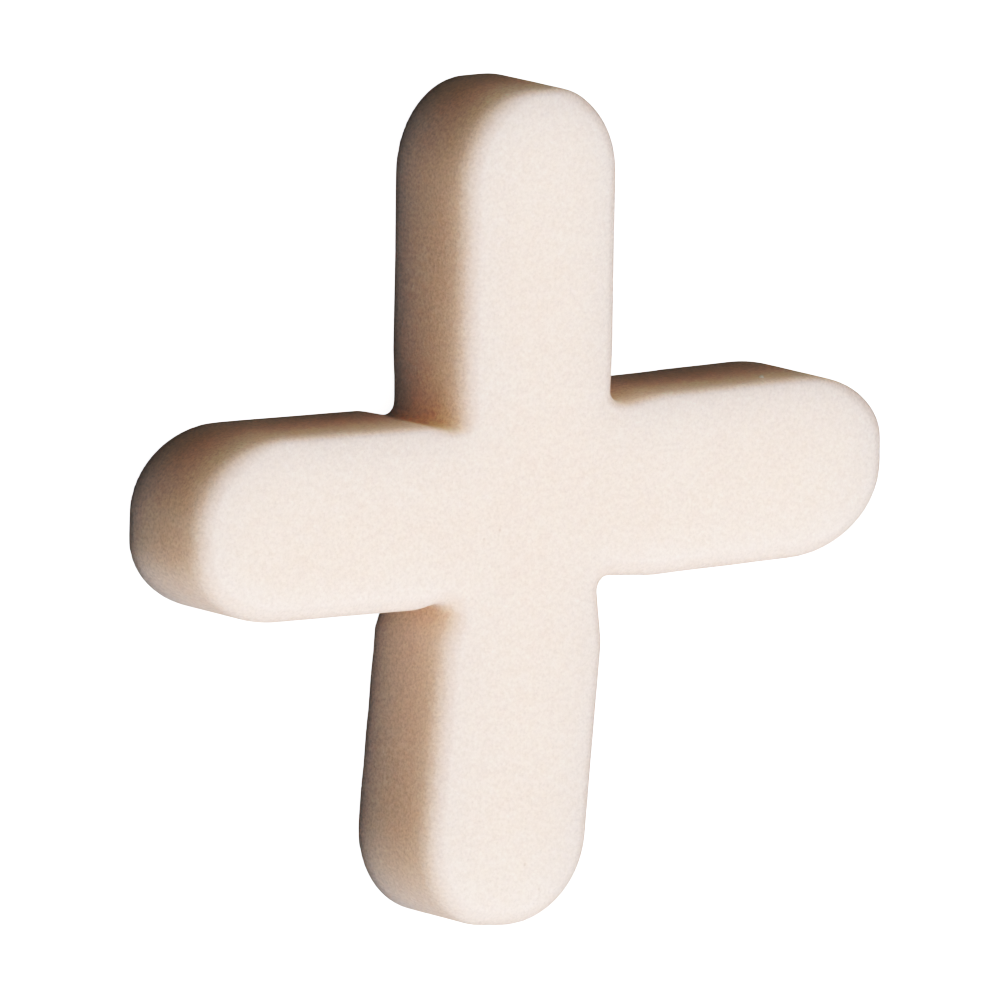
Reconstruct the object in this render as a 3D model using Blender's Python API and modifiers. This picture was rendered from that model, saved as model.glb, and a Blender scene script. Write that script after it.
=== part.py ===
"""Cross-shaped tile spacer, moulded in one piece from soft ivory plastic.

It lies flat, as it would be dropped on a bench. The underside is at Z = 0 and the middle of the
crossing is at X = Y = 0. The right arm points along +X and the top arm along +Y.
All lengths are in metres.
"""

import math
from collections import namedtuple

import bmesh
import bpy
from mathutils import Matrix, Vector

MM = 0.001

# Sizes cut into the mould
JOINT_WIDTH = 3.16 * MM  # width of an arm, which is the gap it keeps between two tiles
ARM_REACH = 7.0 * MM  # middle of the crossing to the end of an arm
THICKNESS = 2.17 * MM
TIP_LENGTH = 1.65 * MM  # how far back from the end the rounding of a tip starts
TIP_FLAT = 0.4 * MM  # straight stretch left across the end of a tip
NECK_LENGTH = 0.8 * MM  # how far from the next arm's side an arm starts to draw in
NECK_DEPTH = 0.13 * MM  # how much each side of an arm has drawn in where it meets the next
SHOULDER_RADIUS = 0.56 * MM  # bend in a side where the neck starts
CORNER_RADIUS = 0.2 * MM  # inner corner between two arms
FACE_EDGE_RADIUS = 0.35 * MM  # edge of the upper face
CRISP_EDGE_RADIUS = 0.1 * MM  # the same edge where it looks towards +Y and came out crisper
UNDER_EDGE_RADIUS = 0.14 * MM  # edge of the underside, which was the mould's parting face

# Each arm as it came out of the mould: its lean to the left in degrees, and what it adds to the
# sizes above. The offset moves the whole arm to its left, and the crown is how far the middle
# of its tip lies to its left.
Arm = namedtuple("Arm", "bearing lean offset longer wider deeper_neck longer_tip crown")
ARMS = (
    Arm(0, 2.1, 0.0 * MM, 0.07 * MM, -0.07 * MM, -0.02 * MM, 0.21 * MM, 0.16 * MM),
    Arm(90, 1.2, 0.08 * MM, -0.13 * MM, 0.0 * MM, -0.09 * MM, -0.14 * MM, 0.06 * MM),
    Arm(180, 0.3, 0.17 * MM, -0.05 * MM, -0.05 * MM, 0.03 * MM, 0.07 * MM, 0.07 * MM),
    Arm(270, -3.6, -0.085 * MM, 0.15 * MM, 0.17 * MM, 0.1 * MM, -0.11 * MM, -0.08 * MM),
)

# Fineness of the faceted solid
CURVE_STEPS = 16  # straight pieces in each round stretch of the outline
EDGE_STEPS = 5  # rows of faces round each rounded edge
CRISP_FROM = 0.8  # share of a side's outward direction that points towards +Y where it turns crisp

QUARTER_HANDLE = 4 / 3 * math.tan(math.pi / 8)  # handle of a quarter ellipse, for a half axis of 1
WELD_DISTANCE = 0.001 * MM
STRAIGHT_ANGLE = math.radians(0.05)  # a bend below this is none, and its faces are made one
LEAST_WALL = 0.1 * MM  # upright side that the two rounded edges always leave between them

IVORY = (0.86, 0.76, 0.66, 1.0)
SUBSURFACE_REACH = (1.0, 0.55, 0.35)

# A point of the outline. A handle that is None runs straight towards its neighbour.
OutlinePoint = namedtuple("OutlinePoint", "place handle_in handle_out", defaults=(None, None))


def clear_scene():
    for old in list(bpy.data.objects):
        bpy.data.objects.remove(old, do_unlink=True)


def new_collection(name):
    collection = bpy.data.collections.new(name)
    bpy.context.scene.collection.children.link(collection)
    return collection


def ivory_plastic():
    material = bpy.data.materials.new("ivory_plastic")
    material.use_nodes = True
    shader = material.node_tree.nodes["Principled BSDF"]
    shader.inputs["Base Color"].default_value = IVORY
    shader.inputs["Roughness"].default_value = 0.6
    shader.inputs["Metallic"].default_value = 0.0
    shader.inputs["Subsurface Weight"].default_value = 0.5
    shader.inputs["Subsurface Radius"].default_value = SUBSURFACE_REACH
    shader.inputs["Subsurface Scale"].default_value = 0.5 * MM
    material.diffuse_color = IVORY
    return material


class ArmOutline:
    """One arm in its own directions: along runs out from the crossing, and left is to its left."""

    def __init__(self, arm):
        bearing = math.radians(arm.bearing)
        heading = bearing + math.radians(arm.lean)
        self.outwards = Vector((math.cos(heading), math.sin(heading)))
        self.leftwards = Vector((-self.outwards.y, self.outwards.x))
        self.origin = Vector((-math.sin(bearing), math.cos(bearing))) * arm.offset
        self.reach = ARM_REACH + arm.longer
        self.half_width = (JOINT_WIDTH + arm.wider) / 2
        self.neck_half_width = self.half_width - NECK_DEPTH - arm.deeper_neck
        self.tip_length = TIP_LENGTH + arm.longer_tip
        self.crown = arm.crown

    def place(self, along, left):
        return self.origin + self.outwards * along + self.leftwards * left

    def shoulder(self, side):
        """Where the neck starts on the left side (1) or on the right side (-1)."""
        return self.place(JOINT_WIDTH / 2 + NECK_LENGTH, side * self.half_width)

    def tip(self):
        """The rounded end, from the right side round to the left side."""
        flat_right = self.crown - TIP_FLAT / 2
        flat_left = self.crown + TIP_FLAT / 2
        start = self.reach - self.tip_length
        along_handle = start + self.tip_length * QUARTER_HANDLE
        right_handle = flat_right - (self.half_width + flat_right) * QUARTER_HANDLE
        left_handle = flat_left + (self.half_width - flat_left) * QUARTER_HANDLE
        return [
            OutlinePoint(
                self.place(start, -self.half_width),
                handle_out=self.place(along_handle, -self.half_width),
            ),
            OutlinePoint(
                self.place(self.reach, flat_right),
                handle_in=self.place(self.reach, right_handle),
            ),
            OutlinePoint(
                self.place(self.reach, flat_left),
                handle_out=self.place(self.reach, left_handle),
            ),
            OutlinePoint(
                self.place(start, self.half_width),
                handle_in=self.place(along_handle, self.half_width),
            ),
        ]


def crossing(point_a, heading_a, point_b, heading_b):
    """Where two lines meet."""
    gap = point_b - point_a
    return point_a + heading_a * (gap.cross(heading_b) / heading_a.cross(heading_b))


def rounded_corner(before, corner, after, radius):
    """The two outline points of an arc that rounds a corner between two straight stretches."""
    back = (before - corner).normalized()
    ahead = (after - corner).normalized()
    turn = math.pi - back.angle(ahead)
    cut = radius * math.tan(turn / 2)
    handle = cut - 4 / 3 * math.tan(turn / 4) * radius
    return [
        OutlinePoint(corner + back * cut, handle_out=corner + back * handle),
        OutlinePoint(corner + ahead * cut, handle_in=corner + ahead * handle),
    ]


def outline_points():
    """The whole outline, anticlockwise from the right arm's tip."""
    arms = [ArmOutline(arm) for arm in ARMS]
    points = []
    for arm, following in zip(arms, arms[1:] + arms[:1]):
        tip = arm.tip()
        shoulder = arm.shoulder(1)
        next_shoulder = following.shoulder(-1)
        next_tip_start = following.tip()[0].place
        corner = crossing(
            arm.place(0, arm.neck_half_width),
            arm.outwards,
            following.place(0, -following.neck_half_width),
            following.outwards,
        )
        points += tip
        points += rounded_corner(tip[-1].place, shoulder, corner, SHOULDER_RADIUS)
        points += rounded_corner(shoulder, corner, next_shoulder, CORNER_RADIUS)
        points += rounded_corner(corner, next_shoulder, next_tip_start, SHOULDER_RADIUS)
    return points


def outline_curve(name, points):
    """The outline as a flat curve, filled and given its thickness above Z = 0."""
    curve = bpy.data.curves.new(name, "CURVE")
    curve.dimensions = "2D"
    curve.fill_mode = "BOTH"
    curve.extrude = THICKNESS / 2
    curve.resolution_u = CURVE_STEPS
    spline = curve.splines.new("BEZIER")
    spline.use_cyclic_u = True
    spline.bezier_points.add(len(points) - 1)
    for knot, point in zip(spline.bezier_points, points):
        knot.co = point.place.to_3d()
        knot.handle_left_type = "FREE" if point.handle_in else "VECTOR"
        knot.handle_right_type = "FREE" if point.handle_out else "VECTOR"
        if point.handle_in:
            knot.handle_left = point.handle_in.to_3d()
        if point.handle_out:
            knot.handle_right = point.handle_out.to_3d()
    blank = bpy.data.objects.new(name, curve)
    blank.matrix_world = Matrix.Translation((0, 0, THICKNESS / 2))
    return blank


def solid_from_curve(name, blank, collection):
    """A closed mesh of the curve, with each flat face and each straight side as one polygon."""
    collection.objects.link(blank)
    bpy.context.view_layer.update()
    evaluated = blank.evaluated_get(bpy.context.evaluated_depsgraph_get())
    mesh = bpy.data.meshes.new_from_object(evaluated)
    solid = bpy.data.objects.new(name, mesh)
    solid.matrix_world = blank.matrix_world
    curve = blank.data
    bpy.data.objects.remove(blank, do_unlink=True)
    bpy.data.curves.remove(curve)
    collection.objects.link(solid)
    shell = bmesh.new()
    shell.from_mesh(mesh)
    bmesh.ops.remove_doubles(shell, verts=shell.verts, dist=WELD_DISTANCE)
    bmesh.ops.dissolve_limit(
        shell, angle_limit=STRAIGHT_ANGLE, verts=shell.verts[:], edges=shell.edges[:]
    )
    bmesh.ops.recalc_face_normals(shell, faces=shell.faces)
    shell.to_mesh(mesh)
    shell.free()
    return solid


def rim_edges(mesh, side):
    """The edges round the upper flat face (side 1) or the lower one (side -1)."""
    cap = next(face for face in mesh.polygons if face.normal.z * side > 0.9)
    keys = set(cap.edge_keys)
    return [edge for edge in mesh.edges if edge.key in keys]


def upper_radius(mesh, edge):
    """The upper rim's radius at an edge, which goes over to the crisp one where it looks to +Y."""
    start, end = (mesh.vertices[index] for index in edge.vertices)
    outwards = (start.normal + end.normal).to_2d().normalized()
    crispness = min(1.0, max(0.0, (outwards.y - CRISP_FROM) / (1 - CRISP_FROM)))
    return FACE_EDGE_RADIUS + (CRISP_EDGE_RADIUS - FACE_EDGE_RADIUS) * crispness


def round_rims(solid):
    """Rounds the rim of each flat face, the upper one more than the lower one."""
    mesh = solid.data
    radii = {edge.index: upper_radius(mesh, edge) for edge in rim_edges(mesh, 1)}
    radii.update({edge.index: UNDER_EDGE_RADIUS for edge in rim_edges(mesh, -1)})
    widest = max(radii.values())
    room = THICKNESS - LEAST_WALL
    share = min(1.0, room / (max(FACE_EDGE_RADIUS, CRISP_EDGE_RADIUS) + UNDER_EDGE_RADIUS))
    weights = mesh.attributes.new("bevel_weight_edge", "FLOAT", "EDGE")
    for index, radius in radii.items():
        weights.data[index].value = radius / widest
    bevel = solid.modifiers.new("rounded_rims", "BEVEL")
    bevel.limit_method = "WEIGHT"
    bevel.offset_type = "OFFSET"
    bevel.width = widest * share
    bevel.segments = EDGE_STEPS
    bevel.use_clamp_overlap = False


def main():
    clear_scene()
    collection = new_collection("tile_spacer_parts")
    blank = outline_curve("spacer_outline", outline_points())
    spacer = solid_from_curve("tile_spacer", blank, collection)
    round_rims(spacer)
    spacer.data.shade_smooth()
    spacer.data.materials.append(ivory_plastic())


main()
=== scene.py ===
"""A moulded tile spacer in matt ivory plastic, lying flat on a pale floor.

Lengths are in metres unless a name ends in _MM.
"""

import math

import bpy
from mathutils import Euler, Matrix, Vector


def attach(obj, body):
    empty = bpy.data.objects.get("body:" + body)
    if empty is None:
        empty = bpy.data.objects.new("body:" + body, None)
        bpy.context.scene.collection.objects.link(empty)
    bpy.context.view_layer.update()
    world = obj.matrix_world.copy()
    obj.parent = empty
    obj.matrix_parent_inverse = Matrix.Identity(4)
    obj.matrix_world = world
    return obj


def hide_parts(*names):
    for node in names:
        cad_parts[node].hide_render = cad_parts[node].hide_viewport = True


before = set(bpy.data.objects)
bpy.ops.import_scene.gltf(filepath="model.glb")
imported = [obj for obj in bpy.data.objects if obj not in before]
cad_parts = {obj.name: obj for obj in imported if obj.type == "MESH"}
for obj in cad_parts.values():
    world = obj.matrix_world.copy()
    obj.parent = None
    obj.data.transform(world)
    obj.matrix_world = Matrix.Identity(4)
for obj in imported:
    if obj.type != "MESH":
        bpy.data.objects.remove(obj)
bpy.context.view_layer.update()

MM = 0.001

# Camera, which looks down on the face of the lying spacer from its left
CAMERA_TILT = (-10.118, -35.899, 2.382)  # degrees about X, Y and Z
CAMERA_AIM_MM = (-0.1005, -0.1461, 1.0390)
CAMERA_AWAY_MM = 466.7
CAMERA_LENS = 1015.6
CAMERA_SENSOR = 36.0
CAMERA_NEAR = 0.05
CAMERA_FAR = 3.0

# Picture tone: a soft shoulder near white, and a toe that keeps the shaded sides dark
TONE_TOE = 1.7
TONE_SHOULDER = 3.0
TONE_STEPS = 10

# Soft round lights: where each comes from in degrees, how wide it looks from the spacer in
# degrees, and how strong it is
LIGHT_AWAY = 0.5
LIGHT_COLOUR = (1.0, 0.92, 0.898)
SOFT_BOXES = (
    ("overhead", 0, 90, 60, 0.175),
    ("right", 30, 55, 60, 0.407),
    ("left", 240, 55, 60, 0.273),
    ("low_front", 270, 8, 60, 0.51),
    ("low_left", 180, 30, 60, 0.103),
    ("back", 150, 30, 60, 0.059),
)

# Pale floor, which glows evenly and gives the spacer no light
FLOOR_SIZE = 2.0
FLOOR_DROP_MM = 0.01
FLOOR_PALE = (0.9, 0.9, 0.9, 1.0)
FLOOR_ROUGHNESS = 0.9
FLOOR_GLOW = 0.85

# Moulding
WORKING_SCALE = 1000.0  # the skin is made at this many times its size: the remesh has a least grid
WELD_MM = 0.001
SKIN_GRID_MM = 0.06  # spacing of the mesh that carries the small forms
SKIN_SMOOTHING = 4  # passes that take the solid's facets out of the skin
SKIN_SMOOTHING_SHARE = 0.5  # how far each pass moves a point towards its neighbours
MOULD_WAVE_MM = 0.008  # most that the skin sinks where the plastic shrank
MOULD_WAVE_LENGTH_MM = 1.3

# Ivory plastic
IVORY = (0.960, 0.827, 0.744)
IVORY_DEEP = (0.938, 0.803, 0.718)  # where the pigment lies thicker
IVORY_ROSE = (0.938, 0.799, 0.729)
RIM_PAINTED_SHADE = (0.926, 0.926, 0.926)  # painted shade: the rounded rims, where they turn from the light, are painted a little darker than the flat face
SIDE_PAINTED_SHADE = (1.03, 0.977, 0.918)  # painted shade: the shaded sides towards -X and +Y are painted browner painted shade: these sides are painted a touch warmer towards their feet
FOOT_PAINTED_SHADE = (1.02, 1.0, 0.99)  # these sides turn a touch warmer at their feet
BACK_PAINTED_SHADE = (1.0, 0.975, 0.95)  # painted shade: the sides that look towards +Y are painted a little browner painted shade: and clearly darker and browner towards their feet
BACK_FOOT_PAINTED_SHADE = (0.80, 0.75, 0.64)  # and clearly so at their feet
SCATTER_SHARE = 0.85  # share of the light that goes into the plastic and comes out again
SCATTER_RADIUS_MM = (2.4, 2.1, 1.85)
SMOOTHEST = 0.56  # roughness where the skin is smoothest
ROUGHEST = 0.66

# Where each tint starts and where it is full: heights, and parts of the skin's outward direction
RIM_UP = (0.985, 0.93)
SIDE_UP = (0.95, 0.45)
BACK_OUT = (0.5, 0.9)
RIGHT_OUT = (0.2, 0.6)
FRONT_OUT = (-0.3, -0.9)
FOOT_MM = (1.3, 0.2)
BACK_FOOT_MM = (1.5, 0.7)
CROSSING_MIDDLE_MM = (0.0, 0.0, 1.0)
NECK_PALE_MM = 3.6  # nearer the crossing than this the painted shade at the feet fades out again

# Patterns in the plastic
CLOUD_SIZE_MM = 2.2
MOTTLE_SIZE_MM = 0.16
GRAIN_SIZE_MM = 0.055
GRAIN_CONTRAST = 0.15
GRAIN_DEPTH_MM = 0.004
GRAIN_BUMP = 0.5
SIDE_GRAIN = 1.4  # how much stronger the mould's grain is on the sides than on the face

# Marks: brown specks in the face, and a raised nib on the right arm's upper side with a painted
# highlight
SPECK_BROWN = (0.36, 0.25, 0.18)
SPOT_CORE = 0.45  # share of a mark's radius that has its full colour
SPECKS = (
    ((-0.160, -6.080, 2.17), 0.042, 0.30),
    ((0.145, -6.521, 2.17), 0.036, 0.22),
    ((-0.906, -0.439, 2.17), 0.034, 0.22),
    ((-1.226, -0.569, 2.17), 0.034, 0.22),
)
NIB_PAINTED_HIGHLIGHT = (1.0, 0.93, 0.8)
NIB_PLACE_MM = (4.665, 1.716, 1.76)
NIB_RADIUS_MM = 0.07
NIB_HEIGHT_MM = 0.05
NIB_PATCH = 2.5  # radius of the patch of finer skin under the nib, in radii of the nib
NIB_CUTS = 3


def aim(thing, place, target):
    thing.location = place
    thing.rotation_euler = (Vector(place) - Vector(target)).to_track_quat("Z", "Y").to_euler()


def add_camera():
    data = bpy.data.cameras.new("camera")
    data.lens = CAMERA_LENS
    data.sensor_width = CAMERA_SENSOR
    data.clip_start = CAMERA_NEAR
    data.clip_end = CAMERA_FAR
    camera = bpy.data.objects.new("camera", data)
    bpy.context.scene.collection.objects.link(camera)
    camera.rotation_euler = Euler([math.radians(angle) for angle in CAMERA_TILT], "XYZ")
    backwards = camera.rotation_euler.to_matrix().col[2]
    camera.location = (Vector(CAMERA_AIM_MM) + backwards * CAMERA_AWAY_MM) * MM
    bpy.context.scene.camera = camera


def set_picture_tone():
    view = bpy.context.scene.view_settings
    view.view_transform = "Standard"
    view.use_curve_mapping = True
    mapping = view.curve_mapping
    tone = mapping.curves[3]
    for step in range(1, TONE_STEPS):
        light = step / TONE_STEPS
        bent = light ** TONE_TOE
        tone.points.new(light, (1 + TONE_SHOULDER) * bent / (1 + TONE_SHOULDER * bent))
    mapping.update()


def only(piece):
    bpy.ops.object.select_all(action="DESELECT")
    piece.select_set(True)
    bpy.context.view_layer.objects.active = piece


def apply_modifier(piece, kind, name, **settings):
    modifier = piece.modifiers.new(name, kind)
    for setting, value in settings.items():
        setattr(modifier, setting, value)
    only(piece)
    bpy.ops.object.modifier_apply(modifier=modifier.name)


def resize(piece, factor):
    only(piece)
    piece.scale = (factor, factor, factor)
    bpy.ops.object.transform_apply(location=False, rotation=False, scale=True)


def mould_wave():
    texture = bpy.data.textures.new("mould_wave", "CLOUDS")
    texture.noise_scale = MOULD_WAVE_LENGTH_MM
    texture.noise_depth = 1
    return texture


def raise_nib(piece):
    """Pulls a tiny nib out of the skin of the right arm's upper side."""
    nib = Vector(NIB_PLACE_MM)
    only(piece)
    bpy.ops.object.mode_set(mode="EDIT")
    bpy.ops.mesh.select_mode(type="FACE")
    bpy.ops.mesh.select_all(action="DESELECT")
    bpy.ops.object.mode_set(mode="OBJECT")
    for face in piece.data.polygons:
        face.select = (face.center - nib).length < NIB_PATCH * NIB_RADIUS_MM
    bpy.ops.object.mode_set(mode="EDIT")
    bpy.ops.mesh.subdivide(number_cuts=NIB_CUTS)
    bpy.ops.mesh.select_mode(type="VERT")
    bpy.ops.mesh.select_all(action="DESELECT")
    bpy.ops.object.mode_set(mode="OBJECT")
    tip = min(piece.data.vertices, key=lambda corner: (corner.co - nib).length)
    outwards = tip.normal.copy()
    tip.select = True
    bpy.ops.object.mode_set(mode="EDIT")
    bpy.ops.transform.translate(
        value=outwards * NIB_HEIGHT_MM, use_proportional_edit=True,
        proportional_edit_falloff="SMOOTH", proportional_size=NIB_RADIUS_MM,
    )
    bpy.ops.object.mode_set(mode="OBJECT")


def moulding():
    """The spacer's skin, as an even fine mesh made from a merged copy of the solid."""
    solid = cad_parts["tile_spacer"]
    piece = bpy.data.objects.new("spacer_moulding", solid.data.copy())
    bpy.context.scene.collection.objects.link(piece)
    resize(piece, WORKING_SCALE)
    only(piece)
    bpy.ops.object.mode_set(mode="EDIT")
    bpy.ops.mesh.select_all(action="SELECT")
    bpy.ops.mesh.remove_doubles(threshold=WELD_MM)
    bpy.ops.object.mode_set(mode="OBJECT")
    apply_modifier(
        piece, "REMESH", "even_skin", mode="VOXEL", voxel_size=SKIN_GRID_MM, use_smooth_shade=True,
    )
    apply_modifier(
        piece, "SMOOTH", "even_rounds", factor=SKIN_SMOOTHING_SHARE, iterations=SKIN_SMOOTHING,
    )
    apply_modifier(
        piece, "DISPLACE", "mould_wave", texture=mould_wave(), texture_coords="LOCAL",
        strength=MOULD_WAVE_MM, mid_level=1.0,
    )
    raise_nib(piece)
    resize(piece, 1 / WORKING_SCALE)
    return piece


def link(tree, source, output, target, socket):
    tree.links.new(source.outputs[output], target.inputs[socket])


def pattern(tree, place, size_mm, **settings):
    """Noise of a given size, in millimetres on the spacer itself."""
    noise = tree.nodes.new("ShaderNodeTexNoise")
    noise.inputs["Scale"].default_value = 1 / size_mm
    for socket, value in settings.items():
        noise.inputs[socket].default_value = value
    link(tree, place, "Vector", noise, "Vector")
    return noise


def remap(tree, source, output, reach, to_low=0.0, to_high=1.0, smooth=False):
    """The source's value, stretched from the two ends of its reach to two new ends."""
    node = tree.nodes.new("ShaderNodeMapRange")
    node.interpolation_type = "SMOOTHSTEP" if smooth else "LINEAR"
    node.inputs["From Min"].default_value = reach[0]
    node.inputs["From Max"].default_value = reach[1]
    node.inputs["To Min"].default_value = to_low
    node.inputs["To Max"].default_value = to_high
    link(tree, source, output, node, "Value")
    return node


def calculate(tree, operation, first, second):
    node = tree.nodes.new("ShaderNodeMath")
    node.operation = operation
    for socket, value in zip(node.inputs, (first, second)):
        if isinstance(value, bpy.types.Node):
            tree.links.new(value.outputs[0], socket)
        else:
            socket.default_value = value
    return node


def times(tree, first, second):
    return calculate(tree, "MULTIPLY", first, second)


def tinted(tree, colour, tint, share, blend="MIX"):
    """The colour moved towards a tint, or multiplied by it, by a share that a node gives."""
    mix = tree.nodes.new("ShaderNodeMix")
    mix.data_type = "RGBA"
    mix.blend_type = blend
    if isinstance(colour, bpy.types.NodeSocket):
        tree.links.new(colour, mix.inputs["A"])
    else:
        mix.inputs["A"].default_value = (*colour, 1.0)
    mix.inputs["B"].default_value = (*tint, 1.0)
    link(tree, share, 0, mix, "Factor")
    return mix.outputs["Result"]


def spot(tree, place, centre_mm, radius_mm, strength=1.0):
    """The strength in the middle of a round mark, and nothing past its radius."""
    gap = tree.nodes.new("ShaderNodeVectorMath")
    gap.operation = "DISTANCE"
    gap.inputs[1].default_value = centre_mm
    link(tree, place, "Vector", gap, 0)
    reach = (radius_mm, radius_mm * SPOT_CORE)
    return remap(tree, gap, "Value", reach, 0.0, strength, smooth=True)


def add_painted_shade(tree, place, facing, sideways, colour):
    """Painted shade: darker rims, and browner sides towards the left and the back, darkest at the
    feet of the back sides.
    """
    height = tree.nodes.new("ShaderNodeSeparateXYZ")
    link(tree, place, "Vector", height, "Vector")
    off_flat = remap(tree, facing, "Z", RIM_UP)
    towards_back = remap(tree, facing, "Y", BACK_OUT)
    not_back = remap(tree, facing, "Y", BACK_OUT, 1.0, 0.0)
    not_right = remap(tree, facing, "X", RIGHT_OUT, 1.0, 0.0)
    not_front = remap(tree, facing, "Y", FRONT_OUT, 1.0, 0.0)
    foot = remap(tree, height, "Z", FOOT_MM)
    back_foot = remap(tree, height, "Z", BACK_FOOT_MM)
    past_neck = calculate(tree, "SUBTRACT", 1.0, spot(tree, place, CROSSING_MIDDLE_MM, NECK_PALE_MM))

    shaded_side_share = times(tree, times(tree, sideways, not_right), not_front)
    back_foot_shade_share = times(tree, times(tree, back_foot, towards_back), past_neck)
    # Painted shade: the rims are darkened where the skin turns away from the flat face, except
    # towards +Y.
    colour = tinted(tree, colour, RIM_PAINTED_SHADE, times(tree, off_flat, not_back), "MULTIPLY")
    # Painted shade: the sides towards -X and +Y are painted browner, and a touch warmer towards
    # their feet.
    colour = tinted(tree, colour, SIDE_PAINTED_SHADE, shaded_side_share, "MULTIPLY")
    colour = tinted(tree, colour, FOOT_PAINTED_SHADE, times(tree, foot, shaded_side_share), "MULTIPLY")
    # Painted shade: the sides towards +Y are painted browner, and darker towards their feet except
    # near the crossing.
    colour = tinted(tree, colour, BACK_PAINTED_SHADE, towards_back, "MULTIPLY")
    return tinted(tree, colour, BACK_FOOT_PAINTED_SHADE, back_foot_shade_share, "MULTIPLY")


def add_grain(tree, grain, sideways, colour):
    """The colour made lighter and darker by the mould's grain, more so on the sides."""
    lift = remap(tree, grain, 0, (0.2, 0.8), -GRAIN_CONTRAST, GRAIN_CONTRAST)
    lift = times(tree, lift, remap(tree, sideways, 0, (0.0, 1.0), 1.0, SIDE_GRAIN))
    lift = calculate(tree, "ADD", lift, 1.0)
    grainy = tree.nodes.new("ShaderNodeVectorMath")
    grainy.operation = "SCALE"
    tree.links.new(colour, grainy.inputs[0])
    link(tree, lift, 0, grainy, "Scale")
    return grainy.outputs["Vector"]


def add_specks_and_nib_highlight(tree, place, colour):
    specks = None
    for centre_mm, radius_mm, strength in SPECKS:
        speck = spot(tree, place, centre_mm, radius_mm, strength)
        specks = calculate(tree, "MAXIMUM", specks, speck) if specks else speck
    colour = tinted(tree, colour, SPECK_BROWN, specks)
    # Painted highlight: a pale spot on the raised nib.
    return tinted(tree, colour, NIB_PAINTED_HIGHLIGHT, spot(tree, place, NIB_PLACE_MM, NIB_RADIUS_MM))


def ivory_plastic():
    """Ivory plastic: cloudy pigment, painted shade on the rims and shaded sides, a fine mould grain
    that is stronger on the sides, brown specks, and a painted highlight on the nib.
    """
    material = bpy.data.materials.new("ivory_plastic_moulded")
    material.use_nodes = True
    tree = material.node_tree
    shader = tree.nodes["Principled BSDF"]
    where = tree.nodes.new("ShaderNodeTexCoord")
    place = tree.nodes.new("ShaderNodeMapping")
    place.inputs["Scale"].default_value = (1 / MM, 1 / MM, 1 / MM)
    link(tree, where, "Object", place, "Vector")
    facing = tree.nodes.new("ShaderNodeSeparateXYZ")
    link(tree, where, "Normal", facing, "Vector")
    sideways = remap(tree, facing, "Z", SIDE_UP)

    clouds = pattern(tree, place, CLOUD_SIZE_MM, Detail=3.0, Roughness=0.55)
    mottle = pattern(tree, place, MOTTLE_SIZE_MM, Detail=1.0)
    grain = pattern(tree, place, GRAIN_SIZE_MM, Detail=2.0, Roughness=0.7)
    colour = tinted(tree, IVORY, IVORY_DEEP, remap(tree, clouds, 0, (0.35, 0.65)))
    colour = tinted(tree, colour, IVORY_ROSE, remap(tree, mottle, 0, (0.4, 0.8)))
    colour = add_painted_shade(tree, place, facing, sideways, colour)
    colour = add_grain(tree, grain, sideways, colour)
    colour = add_specks_and_nib_highlight(tree, place, colour)
    tree.links.new(colour, shader.inputs["Base Color"])

    sheen = remap(tree, mottle, 0, (0.25, 0.75), SMOOTHEST, ROUGHEST)
    link(tree, sheen, 0, shader, "Roughness")

    bump = tree.nodes.new("ShaderNodeBump")
    bump.inputs["Strength"].default_value = GRAIN_BUMP
    bump.inputs["Distance"].default_value = GRAIN_DEPTH_MM * MM
    link(tree, grain, 0, bump, "Height")
    link(tree, bump, "Normal", shader, "Normal")

    shader.inputs["Subsurface Weight"].default_value = SCATTER_SHARE
    shader.inputs["Subsurface Radius"].default_value = SCATTER_RADIUS_MM
    shader.inputs["Subsurface Scale"].default_value = MM
    return material


def add_floor():
    bpy.ops.mesh.primitive_plane_add(size=FLOOR_SIZE, location=(0, 0, -FLOOR_DROP_MM * MM))
    floor = bpy.context.active_object
    floor.name = "floor"
    floor.visible_diffuse = False
    floor.visible_glossy = False
    material = bpy.data.materials.new("pale_floor")
    material.use_nodes = True
    shader = material.node_tree.nodes["Principled BSDF"]
    shader.inputs["Base Color"].default_value = FLOOR_PALE
    shader.inputs["Roughness"].default_value = FLOOR_ROUGHNESS
    shader.inputs["Emission Color"].default_value = (1.0, 1.0, 1.0, 1.0)
    shader.inputs["Emission Strength"].default_value = FLOOR_GLOW
    floor.data.materials.append(material)
    return floor


def add_soft_box(name, azimuth, elevation, width, strength):
    """A round soft light. Azimuth 0 is towards +X and 90 towards +Y."""
    half = math.radians(width / 2)
    data = bpy.data.lights.new(name, "AREA")
    data.shape = "DISK"
    data.size = 2 * LIGHT_AWAY * math.tan(half)
    data.energy = strength * math.pi ** 2 * LIGHT_AWAY ** 2 / math.cos(half) ** 2
    data.color = LIGHT_COLOUR
    light = bpy.data.objects.new(name, data)
    bpy.context.scene.collection.objects.link(light)
    turn = math.radians(azimuth)
    rise = math.radians(elevation)
    level = math.cos(rise)
    direction = Vector((math.cos(turn) * level, math.sin(turn) * level, math.sin(rise)))
    aim(light, direction * LIGHT_AWAY, (0, 0, 0))


def add_dark_world():
    """A world that gives no light, so that only the soft boxes light the spacer."""
    world = bpy.data.worlds.new("studio")
    world.use_nodes = True
    world.node_tree.nodes["Background"].inputs["Strength"].default_value = 0.0
    bpy.context.scene.world = world


set_picture_tone()
add_camera()
add_dark_world()
for soft_box in SOFT_BOXES:
    add_soft_box(*soft_box)
floor = add_floor()
piece = moulding()
piece.data.materials.clear()
piece.data.materials.append(ivory_plastic())
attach(piece, "root")
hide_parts("tile_spacer")
